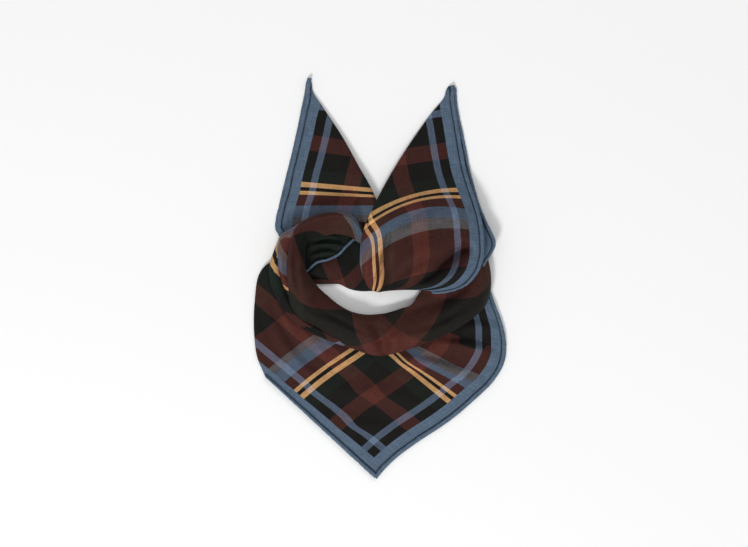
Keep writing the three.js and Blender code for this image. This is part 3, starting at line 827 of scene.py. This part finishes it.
def neck_back():
    s, t = shares(NECK_NET)
    top, low = spot(NECK_BACK, "topX", "topY", s), spot(NECK_BACK, "lowX", "lowY", s)
    place = mix(top, low, t[..., None])
    crest = NECK_HIGH * np.cos(math.pi / 2 * t) ** NECK_ROUND
    high = FLOOR + crest - NECK_DIP * (1 - t) ** DIP_POWER
    high = high + rumples(place[..., 0], place[..., 1], NECK_RUMPLE) * (1 - t)
    points = np.concatenate([place, high[..., None]], -1)
    hem = roll(points[:, 0], points[:, 2], NECK_SEED, NECK_ROLL)[:, ::-1]
    net = np.concatenate([hem, points], 1)
    across, down = from_edge(net) + NECK_HEM, lengths(points[:, :1], 0)
    across[:, len(ROLL_TURN) :] += NECK_CLOTH
    cloth("behind the neck", net, np.stack([across, NECK_ALONG + down + across * 0], -1))


neck_back()

# %% [markdown]
# ## One cloth
# The stretches are joined into a single mesh, because the scarf is one cloth, and a Solidify modifier
# gives it the thickness of a fine twill.

# %% Join
whole = bmesh.new()
for grid in pieces:
    part = bpy.data.meshes.new("part")
    grid.to_mesh(part)
    whole.from_mesh(part)
    bpy.data.meshes.remove(part)
    grid.free()
mesh = bpy.data.meshes.new("scarf_cloth")
whole.to_mesh(mesh)
whole.free()
scarf = bpy.data.objects.new("scarf_cloth", mesh)
bpy.context.scene.collection.objects.link(scarf)
wall = scarf.modifiers.new("thickness", "SOLIDIFY")
wall.thickness = THICK * MM
wall.offset = 0
shown = scarf.evaluated_get(bpy.context.evaluated_depsgraph_get()).to_mesh()
print("triangles with the thickness", sum(len(face.vertices) - 2 for face in shown.polygons))

# %% [markdown]
# ## The plaid
# A plaid is two sets of stripes, one in the threads that run down the cloth and one in the threads
# across. Where they cross, the eye mixes both. So one colour ramp holds the stripes, it is read twice,
# and a fine twill decides which thread lies on top. A painted image would do too, but it would blur
# close up and stretch where the cloth is gathered.

# %% Stripes
SETT = 350.0  # from the edge to the middle, where the stripes turn back in mirror order
GROUND = (0.0062, 0.0057, 0.0050)
BROWN = (0.014, 0.011, 0.008)
GREEN = (0.008, 0.013, 0.009)
BURGUNDY = (0.078, 0.020, 0.015)
SLATE = (0.120, 0.168, 0.250)
GREY = (0.150, 0.135, 0.140)
TAN = (0.90, 0.50, 0.21)
STRIPES = [
    (0.0, GROUND),
    (29.0, SLATE),
    (36.0, GROUND),
    (62.0, BURGUNDY),
    (78.0, GROUND),
    (98.0, GREEN),
    (112.0, TAN),
    (116.5, GROUND),
    (121.0, TAN),
    (125.5, BURGUNDY),
    (138.0, SLATE),
    (150.0, GREY),
    (158.0, BURGUNDY),
    (192.0, GROUND),
    (214.0, GREEN),
    (250.0, GROUND),
    (286.0, BURGUNDY),
    (322.0, BROWN),
]
print("plaid of", len(STRIPES), "stripes to the middle")


# %% [markdown]
# ## Writing a node tree as short lines
# A material is a tree of nodes, and each one takes several lines of Blender's own calls. This helper
# adds a node and fills its inputs in one call. A value that is a socket is linked, any other is set.
# A Mix node lists its sockets for numbers, vectors and colours one after the other, so those for
# colours are found by their place.

# %% Node helper
class Nodes:
    def __init__(self, material):
        material.use_nodes = True
        self.tree = material.node_tree
        self.tree.nodes.clear()

    def add(self, kind, inputs=None, **settings):
        node = self.tree.nodes.new(kind)
        for key, value in settings.items():
            setattr(node, key, value)
        for key, value in (inputs or {}).items():
            if isinstance(value, bpy.types.NodeSocket):
                self.tree.links.new(value, node.inputs[key])
            else:
                node.inputs[key].default_value = value
        return node

    def math(self, operation, a, b=0.0, c=0.0):
        return self.add("ShaderNodeMath", {0: a, 1: b, 2: c}, operation=operation).outputs[0]

    def mix(self, share, a, b, blend="MIX"):
        node = self.add("ShaderNodeMix", data_type="RGBA", blend_type=blend)
        for socket, value in ((0, share), (6, a), (7, b)):
            if isinstance(value, bpy.types.NodeSocket):
                self.tree.links.new(value, node.inputs[socket])
            else:
                node.inputs[socket].default_value = value if socket == 0 else (*value, 1)
        return node.outputs[2]


# %% [markdown]
# ## Colour of the woven stripes
# The ramp is constant between its stops, because a stripe is a number of threads of one dye and has a
# sharp edge. The ping-pong turns the stripes back in mirror order at the middle of the square.

# %% Woven stripes
TWILL = 1.1  # from one diagonal rib to the next, along a thread
TWILL_SHARE = 0.22  # how much the upper thread covers the lower one


def stripes(n, distance):
    share = n.math("DIVIDE", n.math("PINGPONG", distance, SETT * MM), SETT * MM)
    ramp = n.add("ShaderNodeValToRGB", {0: share})
    ramp.color_ramp.interpolation = "CONSTANT"
    stops = ramp.color_ramp.elements
    while len(stops) < len(STRIPES):
        stops.new(0.5)
    for stop, (position, colour) in zip(stops, STRIPES):
        stop.position = position / SETT
        stop.color = (*colour, 1)
    return ramp.outputs[0]


def woven(n, p, q):
    ribs = n.math("MULTIPLY", n.math("ADD", p, q), 2 * math.pi / (TWILL * MM))
    twill = n.math("SINE", ribs)
    over = n.math("MULTIPLY_ADD", twill, TWILL_SHARE, 0.5)
    return twill, n.mix(over, stripes(n, p), stripes(n, q))


# %% [markdown]
# ## The border and its groove
# The plain border follows all four sides, so it needs the distance to the nearest edge. Beside the
# rolled hem the shadow in the groove is painted in as darker colour, unevenly so. A noise breaks that
# line up.

# %% Border and groove
EDGE = (0.086, 0.127, 0.182)
# painted shade: the colour of the shadow in the groove beside the rolled hem
PAINTED_GROOVE_SHADE = (0.010, 0.016, 0.028)
GROOVE_PLACE = 8.9  # middle of the painted shade beside the roll, from the raw edge
GROOVE_WIDE = 2.4  # to each side
GROOVE_NOISE = {"Scale": 130.0, "Detail": 2.0}
GROOVE_LEAST = 0.36  # how dark it is where the noise is lowest
GROOVE_CHANGE = 0.9  # and how much the noise adds


def bordered(n, place, p, q, colour):
    edges = [p, q, n.math("SUBTRACT", SIDE * MM, p), n.math("SUBTRACT", SIDE * MM, q)]
    near = n.math("MINIMUM", n.math("MINIMUM", *edges[:2]), n.math("MINIMUM", *edges[2:]))
    colour = n.mix(n.math("LESS_THAN", near, BORDER * MM), colour, EDGE)
    beside = n.math("ABSOLUTE", n.math("SUBTRACT", near, GROOVE_PLACE * MM))
    # inputs 1 and 2 take the distances, 3 and 4 the values there
    limits = {1: GROOVE_WIDE / 4 * MM, 2: GROOVE_WIDE * MM, 3: 1.0, 4: 0.0}
    # painted shade, strongest at the groove and fading to each side, made uneven by a noise
    groove_shade = n.add("ShaderNodeMapRange", {0: beside, **limits}, interpolation_type="SMOOTHSTEP")
    uneven = n.add("ShaderNodeTexNoise", {"Vector": place, **GROOVE_NOISE}).outputs[0]
    shade_depth = n.math("MULTIPLY_ADD", uneven, GROOVE_CHANGE, GROOVE_LEAST)
    return n.mix(n.math("MULTIPLY", groove_shade.outputs[0], shade_depth), colour, PAINTED_GROOVE_SHADE)


# %% [markdown]
# ## Threads
# Hand spun yarn is thicker in some places than in others. A noise that is stretched along each thread
# gives those slubs, as a change of tone and as a little height. The finish is nearly matte, with the
# faint sheen of the silk.

# %% Threads
SLUB = (1400, 90, 1)  # across a thread and along it
THREAD_TONE = (1.1, -0.1)  # factor and offset from the noise to the tone
SLUB_NOISE = {"Scale": 1.0, "Detail": 3.0}
TWILL_HEIGHT = 0.5  # of the ribs, against the slubs
BUMP = {"Strength": 0.35, "Distance": 0.00025}


def slub(n, place, scale):
    stretched = n.add("ShaderNodeMapping", {"Vector": place, "Scale": scale}).outputs[0]
    return n.add("ShaderNodeTexNoise", {"Vector": stretched, **SLUB_NOISE}).outputs[0]


def threaded(n, place, twill, colour):
    threads = n.math("ADD", slub(n, place, SLUB), slub(n, place, (SLUB[1], SLUB[0], 1)))
    tone = n.math("MULTIPLY_ADD", threads, *THREAD_TONE)
    grey = n.add("ShaderNodeCombineColor", {0: tone, 1: tone, 2: tone}).outputs[0]
    height = n.math("ADD", n.math("MULTIPLY", twill, TWILL_HEIGHT), threads)
    bump = n.add("ShaderNodeBump", {**BUMP, "Height": height}).outputs[0]
    return n.mix(1.0, colour, grey, "MULTIPLY"), bump


# %% Fabric
def fabric():
    material = bpy.data.materials.new("plaid_twill")
    n = Nodes(material)
    place = n.add("ShaderNodeUVMap", uv_map="cloth").outputs[0]
    parts = n.add("ShaderNodeSeparateXYZ", {0: place})
    p, q = parts.outputs[0], parts.outputs[1]
    twill, colour = woven(n, p, q)
    colour = bordered(n, place, p, q, colour)
    colour, bump = threaded(n, place, twill, colour)
    shader = n.add("ShaderNodeBsdfPrincipled", {"Base Color": colour, "Normal": bump})
    shader.inputs["Roughness"].default_value = 0.72
    shader.inputs["Specular IOR Level"].default_value = 0.12
    shader.inputs["Sheen Weight"].default_value = 0.03
    shader.inputs["Sheen Roughness"].default_value = 0.45
    n.add("ShaderNodeOutputMaterial", {0: shader.outputs[0]})
    return material


mesh.materials.append(fabric())
print("fabric of", len(mesh.materials[0].node_tree.nodes), "nodes")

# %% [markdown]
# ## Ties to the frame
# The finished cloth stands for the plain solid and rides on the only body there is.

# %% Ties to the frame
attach(scarf, "root")
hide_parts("scarf")

# %% [markdown]
# ## Floor
# The scarf lies on a plain pale floor.

# %% Floor
FLOOR_SIDE = 8  # metres
bpy.ops.mesh.primitive_plane_add(size=FLOOR_SIDE)
floor = bpy.context.object
floor.name = "floor"
paper = bpy.data.materials.new("pale_floor")
paper.use_nodes = True
paper.node_tree.nodes["Principled BSDF"].inputs["Base Color"].default_value = (0.93, 0.93, 0.93, 1)
paper.node_tree.nodes["Principled BSDF"].inputs["Roughness"].default_value = 0.9
floor.data.materials.append(paper)

# %% [markdown]
# ## Light
# Wide soft lights keep the shadows pale. The main one comes from the bib's side, so each fold has a
# lit and a shaded side, and a second one from the other side keeps the shade open.

# %% Light
scene = bpy.context.scene
scene.view_settings.view_transform = "Standard"
world = bpy.data.worlds.new("studio")
scene.world = world
world.use_nodes = True
background = world.node_tree.nodes["Background"]
background.inputs["Color"].default_value = (1, 1, 1, 1)
background.inputs["Strength"].default_value = 0.58
LAMPS = [
    ("name", "place", "size", "power"),
    ("key", (-1.0, -2.6, 2.3), 0.9, 76),
    ("fill", (1.0, 2.6, 2.6), 1.6, 18),
]
for name, place, size, power in LAMPS[1:]:
    light = bpy.data.lights.new(name, "AREA")
    light.shape = "DISK"
    light.size = size
    light.energy = power
    lamp = bpy.data.objects.new(name, light)
    lamp.location = place
    lamp.rotation_euler = (-Vector(place)).to_track_quat("-Z", "Y").to_euler()
    scene.collection.objects.link(lamp)
print("lamps", [row[0] for row in LAMPS[1:]])

# %% [markdown]
# ## Camera
# The camera looks straight down from far away through a long lens, so nothing leans outwards. Its
# height follows from the width that the picture shows.

# %% Camera
VIEW_WIDE = 0.748
VIEW_MIDDLE = (-0.0078, 0.0055)  # the point of the surface in the middle of the picture
VIEW_LEVEL = 0.006  # height at which the picture has that width
camera = bpy.data.cameras.new("camera")
camera.lens = 125
camera.clip_end = 50
camera_object = bpy.data.objects.new("camera", camera)
CAMERA_HIGH = camera.lens / camera.sensor_width * VIEW_WIDE
camera_object.location = (*VIEW_MIDDLE, CAMERA_HIGH + VIEW_LEVEL)
scene.collection.objects.link(camera_object)
scene.camera = camera_object
print("camera height", round(CAMERA_HIGH + VIEW_LEVEL, 3))
